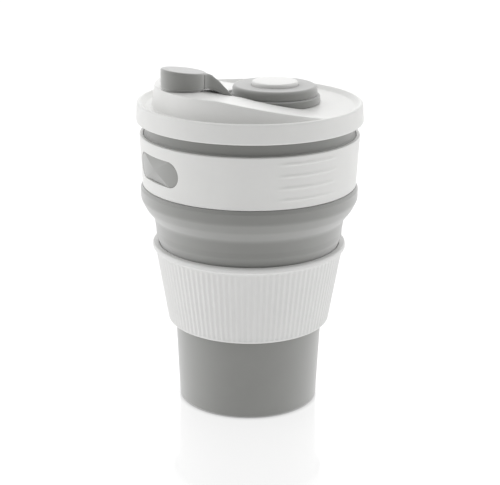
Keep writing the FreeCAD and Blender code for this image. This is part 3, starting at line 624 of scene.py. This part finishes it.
def lid_hollow_rings(boss, count=72):
    """Rings of the hollow under the raised part, from the skirt in to the post hole."""
    columns = len(boss)
    angles = np.arange(columns) * 2 * math.pi / columns
    paths = []
    for (x, y), angle in zip(boss, angles):
        direction = np.array([math.cos(angle), math.sin(angle)])
        start = [*(SKIRT_IN_R * direction), CEILING_Z - 1]
        shoulder = (SKIRT_IN_R - 0.25) * direction
        shares = np.linspace(0, 1, 40)[:, None]
        places = shoulder + (np.array([x, y]) - shoulder) * shares
        under = at_height(places, soft_above(lid_top(places[:, 0]) - TOP_WALL, CEILING_Z, 0.3))
        hub = np.array([knob_x + POST_HOLE_R * direction[0], POST_HOLE_R * direction[1]])
        boss_foot = np.array([x, y]) + 0.02 * (hub - np.array([x, y]))
        path = np.vstack([[start], under, [[*boss_foot, CEILING_Z], [*hub, CEILING_Z]]])
        paths.append(soften(path, 0.3, count, focus=2.0))
    paths = np.array(paths)
    return [paths[:, row] for row in range(1, count - 1)]


def drinking_hole(rings, top_rows, under_rows):
    """The opening under the stopper's plug, with rounded edges."""
    middle = len(rings[0]) // 2
    margin, edge_round = 1.9, 0.5
    x_near, x_far = HOLE_X + HOLE_R + margin, HOLE_X - HOLE_R - margin
    low = next(row for row in top_rows if rings[row][middle][0] < x_near)
    high = next(row for row in top_rows if rings[row][middle][0] < x_far)
    under_middle = next(row for row in under_rows if rings[row][middle][0] > HOLE_X)
    under_low = under_middle - (high - low) // 2
    row = (low + high) // 2
    half = next(k for k in range(middle) if abs(rings[row][middle + k][1]) > HOLE_R + margin)
    opening = Opening((low, high), (under_low, under_low + high - low), (middle - half, middle + half))
    rim = np.array([rings[r][c] for r, c in opening.near_rim])
    under_rim = np.array([rings[r][c] for r, c in opening.far_rim])

    def towards_hole(places, grow):
        away = places[:, :2] - [HOLE_X, 0]
        away /= np.linalg.norm(away, axis=1)[:, None]
        return away * (HOLE_R + grow) + [HOLE_X, 0]

    for share in (0.25, 0.5, 0.75):
        places = rim[:, :2] + (towards_hole(rim, edge_round) - rim[:, :2]) * share
        opening.tunnel.append(at_height(places, lid_top(places[:, 0])))
    for turn in np.linspace(0, math.pi / 2, 5):
        places = towards_hole(rim, edge_round * (1 - math.sin(turn)))
        drop = edge_round * (1 - math.cos(turn))
        opening.tunnel.append(at_height(places, lid_top(places[:, 0]) - drop))
    for turn in np.linspace(0, math.pi / 2, 4):
        places = towards_hole(under_rim, edge_round * (1 - math.cos(turn)))
        drop = TOP_WALL - edge_round * (1 - math.sin(turn))
        opening.tunnel.append(at_height(places, lid_top(places[:, 0]) - drop))
    for share in (0.35, 0.7):
        places = towards_hole(under_rim, edge_round)
        places = places + (under_rim[:, :2] - places) * share
        opening.tunnel.append(at_height(places, lid_top(places[:, 0]) - TOP_WALL))
    return opening


def domed_lid(material):
    """Screw lid: rounded rim, raised drinking side that slopes down to the knob, threaded skirt."""
    key = keyhole(0)
    grow = keyhole(1) - key
    recess = lid_recess_rings(key, grow)
    top = lid_top_rings(recess[-1])
    side = lid_side_rings(len(key))
    hollow = lid_hollow_rings(key + grow * 3.6)
    rings = recess + top + side + hollow
    top_rows = range(len(recess), len(recess) + len(top))
    under_rows = range(len(rings) - len(hollow), len(rings))
    opening = drinking_hole(rings, top_rows, under_rows)
    opening.tunnel = [towards_spout(ring) for ring in opening.tunnel]
    piece = build("domed_lid", [towards_spout(ring) for ring in rings], opening=opening)
    dress(piece, material)
    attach(piece, "lid")
    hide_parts("lid_shell")


# ---------------------------------------------------------------- knob stack

def knob_pieces(white, grey):
    """Silicone ring round the post, grip disc above it, and the white rivet that holds both."""
    centre = centre_of("rivet_button")
    inner_r, seat_r, seat_z = POST_HOLE_R, 9.4, 129.0
    disc_r, disc_foot_z, disc_top_z = turned_size("grip_disc")
    button_r, stem_foot_z, button_top_z = turned_size("rivet_button")
    ring = rounded([
        (inner_r, eyelet_foot_z, 0.2), (eyelet_r, eyelet_foot_z, 0.4), (eyelet_r, eyelet_top_z, 0.5),
        (inner_r, eyelet_top_z, 0.2)])
    disc = rounded([
        (inner_r, disc_foot_z, 0.1), (disc_r, disc_foot_z, 0.6), (disc_r, disc_top_z, 1.5),
        (seat_r, disc_top_z - 0.05, 0.3), (seat_r - 0.1, seat_z, 0.2), (inner_r, seat_z, 0.1)])
    rivet = rounded([
        (0, stem_foot_z, 0), (3.0, stem_foot_z, 0.4), (3.6, stem_foot_z + 1, 0.2), (3.0, 119.95, 0.2),
        (3.0, seat_z + 0.05, 0.1), (button_r, seat_z + 0.05, 0.4), (button_r, button_top_z - 0.1, 0.8),
        (5.5, button_top_z, 8), (0, button_top_z, 0)], closed=False)
    ring_piece = build("stopper_ring", turned(filled(ring, 1.2), centre=centre))
    dress(ring_piece, grey)
    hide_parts("stopper_eyelet")
    disc_piece = build("knob_disc", turned(filled(disc, 1.2), centre=centre))
    dress(disc_piece, grey)
    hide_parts("grip_disc")
    rivet_rings = turned(filled(rivet, 1.2, closed=False)[1:-1], columns=144, centre=centre)
    poles = ((*centre, stem_foot_z), (*centre, button_top_z))
    rivet_piece = build("knob_rivet", rivet_rings, poles=poles)
    dress(rivet_piece, white)
    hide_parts("rivet_button")
    for piece in (ring_piece, disc_piece, rivet_piece):
        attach(piece, "lid")


# ---------------------------------------------------------------- stopper

PLUG_R = 8.8
PLUG_FOOT_Z = pad_z + 0.05
PLUG_HIGH_Z = 139.3
PLUG_LOW_Z = 137.3


def stopper_plug(material):
    """Cap with a slanting top over the drinking hole, and the nozzle that closes the hole."""
    nozzle_r, nozzle_tip_r, nozzle_len = 5.2, 4.25, 3.4
    side_z = 0.5 * (PLUG_HIGH_Z + PLUG_LOW_Z)
    slant = (PLUG_HIGH_Z - PLUG_LOW_Z) / (2 * PLUG_R)
    outline = filled(rounded([
        (0, PLUG_FOOT_Z - nozzle_len, 0), (nozzle_tip_r, PLUG_FOOT_Z - nozzle_len, 0.6),
        (nozzle_r, PLUG_FOOT_Z, 0.15), (PLUG_R - 0.25, PLUG_FOOT_Z, 0.35),
        (PLUG_R - 0.2, PLUG_FOOT_Z + 0.9, 0.15), (PLUG_R, PLUG_FOOT_Z + 1.0, 0.1),
        (PLUG_R, side_z, 0.7), (0, side_z, 0)], closed=False), 0.8, closed=False)
    rings = []
    for ring in turned(outline[1:-1], columns=160):
        share = smoothstep(ring[:, 2], PLUG_FOOT_Z + 1.2, side_z - 0.6)
        rise = -ring[:, 0] * slant * share
        rings.append(ring + np.column_stack([np.full(len(ring), HOLE_X), np.zeros(len(ring)), rise]))
    poles = [np.array([[HOLE_X, 0, height]]) for height in (outline[0, 1], outline[-1, 1])]
    piece = build("stopper_plug", [towards_spout(ring) for ring in rings],
                  poles=[towards_spout(pole)[0] for pole in poles])
    dress(piece, material)
    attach(piece, "stopper")
    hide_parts("stopper_flap")


def strap_section(half_width, low, high, count=36):
    """A closed rounded-rectangle cross-section, as (across, height) points."""
    radius = min(0.45, 0.48 * (high - low))
    corners = [(-half_width, low, radius), (half_width, low, radius),
               (half_width, high, radius), (-half_width, high, radius)]
    outline = filled(rounded(corners, step=30), 0.2)
    length = np.concatenate([[0], np.cumsum(np.linalg.norm(np.diff(
        np.vstack([outline, outline[:1]]), axis=0), axis=1))])
    ends = np.vstack([outline, outline[:1]])
    places = np.linspace(0, length[-1], count, endpoint=False)
    return np.column_stack([np.interp(places, length, ends[:, i]) for i in range(2)])


def stopper_strap(material):
    """Wedge-shaped strap from the plug down to its thin fold beside the knob."""
    half_width, fold_half, root_x = 5.5, 0.7, -6.4
    plug_side = HOLE_X + PLUG_R
    top = np.array([
        (plug_side - 3, PLUG_LOW_Z + 0.1), (plug_side - 0.6, PLUG_LOW_Z - 0.25),
        (plug_side + 1, PLUG_LOW_Z - 0.9), (plug_side + 4.2, PLUG_LOW_Z - 3.6), (-11.7, 129.6),
        (-9.7, 127.1), (-hinge_x - 0.4, hinge_z + fold_half), (root_x, hinge_z + fold_half - 0.1)])
    foot = np.array([
        (plug_side - 3, PLUG_FOOT_Z + 0.15), (plug_side - 0.8, PLUG_FOOT_Z + 0.1), (-17.2, 130.2),
        (-15.5, 129.35), (-hinge_x - 1.2, hinge_z - fold_half), (root_x, hinge_z - fold_half)])
    stations = np.concatenate([
        np.linspace(top[0, 0], -hinge_x - 3, 40, endpoint=False), np.linspace(-hinge_x - 3, root_x, 28)])
    rings = []
    for x in stations:
        high = np.interp(x, top[:, 0], top[:, 1])
        low = np.interp(x, foot[:, 0], foot[:, 1])
        flare = 1.25 * float(np.clip((plug_side + 0.7 - x) / 3.6, 0, 1)) ** 2
        section = strap_section(half_width + flare, low, high)
        rings.append(np.column_stack([np.full(len(section), x), section]))
    poles = [np.array([ring.mean(axis=0)]) for ring in (rings[0], rings[-1])]
    piece = build("stopper_strap", [towards_spout(ring) for ring in rings],
                  poles=[towards_spout(pole)[0] for pole in poles])
    dress(piece, material)
    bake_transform(piece)


# ---------------------------------------------------------------- materials

def add_node(tree, kind, settings=None, **inputs):
    """A shader node. An input given as a socket is linked, and anything else is its value."""
    node = tree.nodes.new(kind)
    for key, value in (settings or {}).items():
        setattr(node, key, value)
    for key, value in inputs.items():
        socket = node.inputs[int(key[1:])] if key[0] == "i" and key[1:].isdigit() else node.inputs[
            key.replace("_", " ")]
        if isinstance(value, bpy.types.NodeSocket):
            tree.links.new(value, socket)
        else:
            socket.default_value = value
    return node


def scaled(tree, value, low, high):
    """A value stretched from 0.3 to 0.7, between which noise mostly lies, onto low to high."""
    node = add_node(tree, "ShaderNodeMapRange", Value=value,
                    From_Min=0.3, From_Max=0.7, To_Min=low, To_Max=high)
    return node.outputs["Result"]


def moulded(name, colour, roughness, grain_mm, grain_depth, mottle, edge_highlight_gain, sheen=0.0, soft=0.0):
    """A moulded surface: cloudy colour, fine grain, uneven gloss, and a painted highlight that lightens the colour
    on sharp edges.
    """
    material = bpy.data.materials.new(name)
    material.use_nodes = True
    tree = material.node_tree
    surface = tree.nodes["Principled BSDF"]
    place = add_node(tree, "ShaderNodeTexCoord").outputs["Object"]
    cloud = add_node(tree, "ShaderNodeTexNoise", Vector=place, Scale=70.0, Detail=3.0, Roughness=0.55)
    haze = add_node(tree, "ShaderNodeTexNoise", Vector=place, Scale=420.0, Detail=4.0, Roughness=0.6)
    grain = add_node(tree, "ShaderNodeTexNoise", Vector=place, Scale=1000.0 / grain_mm, Detail=2.0)
    shade = scaled(tree, cloud.outputs["Fac"], 1 - mottle, 1 + mottle)
    fine_shade = scaled(tree, haze.outputs["Fac"], 1 - 0.5 * mottle, 1 + 0.5 * mottle)
    both = add_node(tree, "ShaderNodeMath", {"operation": "MULTIPLY"}, i0=shade, i1=fine_shade)
    # Painted highlight: the colour is lightened where the surface is sharply convex, as on lit edges.
    pointed = add_node(tree, "ShaderNodeNewGeometry").outputs["Pointiness"]
    edge = add_node(tree, "ShaderNodeMapRange", Value=pointed,
                    From_Min=0.5, From_Max=0.58, To_Min=0.0, To_Max=edge_highlight_gain)
    mottle_and_edge_highlight = add_node(tree, "ShaderNodeMath", {"operation": "ADD"},
                    i0=both.outputs["Value"], i1=edge.outputs["Result"])
    tint = add_node(tree, "ShaderNodeVectorMath", {"operation": "SCALE"},
                    i0=colour, Scale=mottle_and_edge_highlight.outputs["Value"])
    tree.links.new(tint.outputs["Vector"], surface.inputs["Base Color"])
    gloss = scaled(tree, haze.outputs["Fac"], roughness - 0.05, roughness + 0.05)
    tree.links.new(gloss, surface.inputs["Roughness"])
    bump = add_node(tree, "ShaderNodeBump", Strength=0.35, Distance=grain_depth * MM,
                    Height=grain.outputs["Fac"])
    tree.links.new(bump.outputs["Normal"], surface.inputs["Normal"])
    surface.inputs["Sheen Weight"].default_value = sheen
    surface.inputs["Sheen Roughness"].default_value = 0.6
    surface.inputs["Subsurface Weight"].default_value = soft
    surface.inputs["Subsurface Radius"].default_value = (1.0, 1.0, 1.0)
    surface.inputs["Subsurface Scale"].default_value = 0.8 * MM
    return material


def finish_hidden_nodes(white, grey):
    """Gives the CAD pieces inside the cup the finish of their slots."""
    finishes = {"white_plastic": white, "grey_silicone": grey}
    slots = {part["node"]: part["material_slot"] for part in frame["record"]["subparts"]}
    for node, piece in frame["nodes"].items():
        if piece.hide_render:
            continue
        piece.data.materials.clear()
        piece.data.materials.append(finishes[slots[node]])


# ---------------------------------------------------------------- stage, light and camera

def make_floor():
    """A wide round pale floor that glows by itself, with a faint mirror image and a painted contact shadow where
    its glow is dimmed close to the cup.
    """
    angles = np.arange(96) * 2 * math.pi / 96
    ring = np.column_stack([np.cos(angles), np.sin(angles), np.zeros(96)]) * 6000
    mesh = bpy.data.meshes.new("floor")
    mesh.from_pydata((ring * MM).tolist(), [], [tuple(range(96))])
    floor = bpy.data.objects.new("floor", mesh)
    bpy.context.scene.collection.objects.link(floor)
    material = bpy.data.materials.new("floor_paper")
    material.use_nodes = True
    tree = material.node_tree
    tree.nodes.remove(tree.nodes["Principled BSDF"])
    place = add_node(tree, "ShaderNodeTexCoord").outputs["Object"]
    fibre = add_node(tree, "ShaderNodeTexNoise", Vector=place, Scale=900.0, Detail=3.0)
    matt = add_node(tree, "ShaderNodeBsdfDiffuse", Color=(0.25, 0.25, 0.25, 1)).outputs["BSDF"]
    # Painted contact shadow: the floor's glow is dimmed where the cup stands close above it.
    painted_contact_shadow = add_node(tree, "ShaderNodeAmbientOcclusion", Distance=0.005).outputs["AO"]
    strength = scaled(tree, painted_contact_shadow, 0.35, 0.85)
    glow = add_node(tree, "ShaderNodeEmission", Strength=strength).outputs["Emission"]
    gloss = add_node(tree, "ShaderNodeBsdfGlossy", Roughness=scaled(tree, fibre.outputs["Fac"], 0.1, 0.13),
                     Color=(1, 1, 1, 1)).outputs["BSDF"]
    lit = add_node(tree, "ShaderNodeAddShader", i0=matt, i1=glow).outputs["Shader"]
    paper = add_node(tree, "ShaderNodeMixShader", i0=0.15, i1=lit, i2=gloss).outputs["Shader"]
    tree.links.new(paper, tree.nodes["Material Output"].inputs["Surface"])
    mesh.materials.append(material)


def make_world():
    """White studio all round, dimmer on the camera's side so that the cup's front keeps its shading."""
    world = bpy.data.worlds.new("studio")
    bpy.context.scene.world = world
    world.use_nodes = True
    tree = world.node_tree
    background = tree.nodes["Background"]
    direction = add_node(tree, "ShaderNodeTexCoord").outputs["Generated"]
    parts = add_node(tree, "ShaderNodeSeparateXYZ", Vector=direction)
    front = add_node(tree, "ShaderNodeMapRange", {"interpolation_type": "SMOOTHSTEP"},
                     Value=parts.outputs["Y"], From_Min=-0.6, From_Max=1.0, To_Min=0.42, To_Max=1.15)
    seen = add_node(tree, "ShaderNodeLightPath").outputs["Is Camera Ray"]
    strength = add_node(tree, "ShaderNodeMix", i0=seen, i2=front.outputs["Result"], i3=1.1)
    tree.links.new(strength.outputs[0], background.inputs["Strength"])
    background.inputs["Color"].default_value = (1, 1, 1, 1)


def make_light(name, place, target, size, power):
    """A square soft light at place, aimed at target, all in mm."""
    data = bpy.data.lights.new(name, "AREA")
    data.size = size * MM
    data.energy = power
    light = bpy.data.objects.new(name, data)
    bpy.context.scene.collection.objects.link(light)
    light.location = Vector(place) * MM
    light.rotation_mode = "QUATERNION"
    light.rotation_quaternion = (Vector(target) - Vector(place)).to_track_quat("-Z", "Y")
    light.visible_camera = False


def make_camera():
    """A long lens in front of the cup, looking a little down on it."""
    elevation, distance, roll = math.radians(17.88), 550, math.radians(0.44)
    target = Vector((0.43, 0, 65.2))
    data = bpy.data.cameras.new("camera")
    data.sensor_width = 36
    data.lens = 97.2
    data.clip_start = 0.01
    data.clip_end = 50
    camera = bpy.data.objects.new("camera", data)
    bpy.context.scene.collection.objects.link(camera)
    ahead = Vector((0, math.cos(elevation), -math.sin(elevation)))
    right = Vector((1, 0, 0))
    above = right.cross(ahead)
    leaning_right = right * math.cos(roll) + above * math.sin(roll)
    leaning_up = above * math.cos(roll) - right * math.sin(roll)
    turn = Matrix((leaning_right, leaning_up, -ahead)).transposed()
    camera.matrix_world = Matrix.Translation((target - ahead * distance) * MM) @ turn.to_4x4()
    bpy.context.scene.camera = camera


white_plastic = moulded("white_plastic", (0.79, 0.79, 0.776), roughness=0.42, grain_mm=0.35,
                        grain_depth=0.02, mottle=0.012, edge_highlight_gain=0.03, soft=0.1)
sleeve_plastic = moulded("sleeve_plastic", (0.79, 0.79, 0.78), roughness=0.55, grain_mm=0.3,
                         grain_depth=0.02, mottle=0.008, edge_highlight_gain=0.03, soft=0.1)
grey_silicone = moulded("grey_silicone", (0.228, 0.23, 0.217), roughness=0.6, grain_mm=0.25,
                        grain_depth=0.03, mottle=0.03, edge_highlight_gain=0.05, sheen=1.0)

silicone_lower(grey_silicone)
silicone_upper(grey_silicone)
ribbed_sleeve(sleeve_plastic)
collar_shell(white_plastic)
window_patch(grey_silicone)
domed_lid(white_plastic)
knob_pieces(white_plastic, grey_silicone)
stopper_plug(grey_silicone)
stopper_strap(grey_silicone)
finish_hidden_nodes(white_plastic, grey_silicone)

make_floor()
make_world()
make_light("left_softbox", (-700, 50, 350), (0, 0, 70), 500, 1.3)
make_light("right_softbox", (700, 50, 350), (0, 0, 70), 500, 0.8)
make_light("top_softbox", (0, 150, 900), (0, 0, 70), 700, 1.0)
make_light("back_softbox", (0, 900, 350), (0, 0, 90), 600, 0.8)
make_camera()
bpy.context.scene.view_settings.view_transform = "Standard"
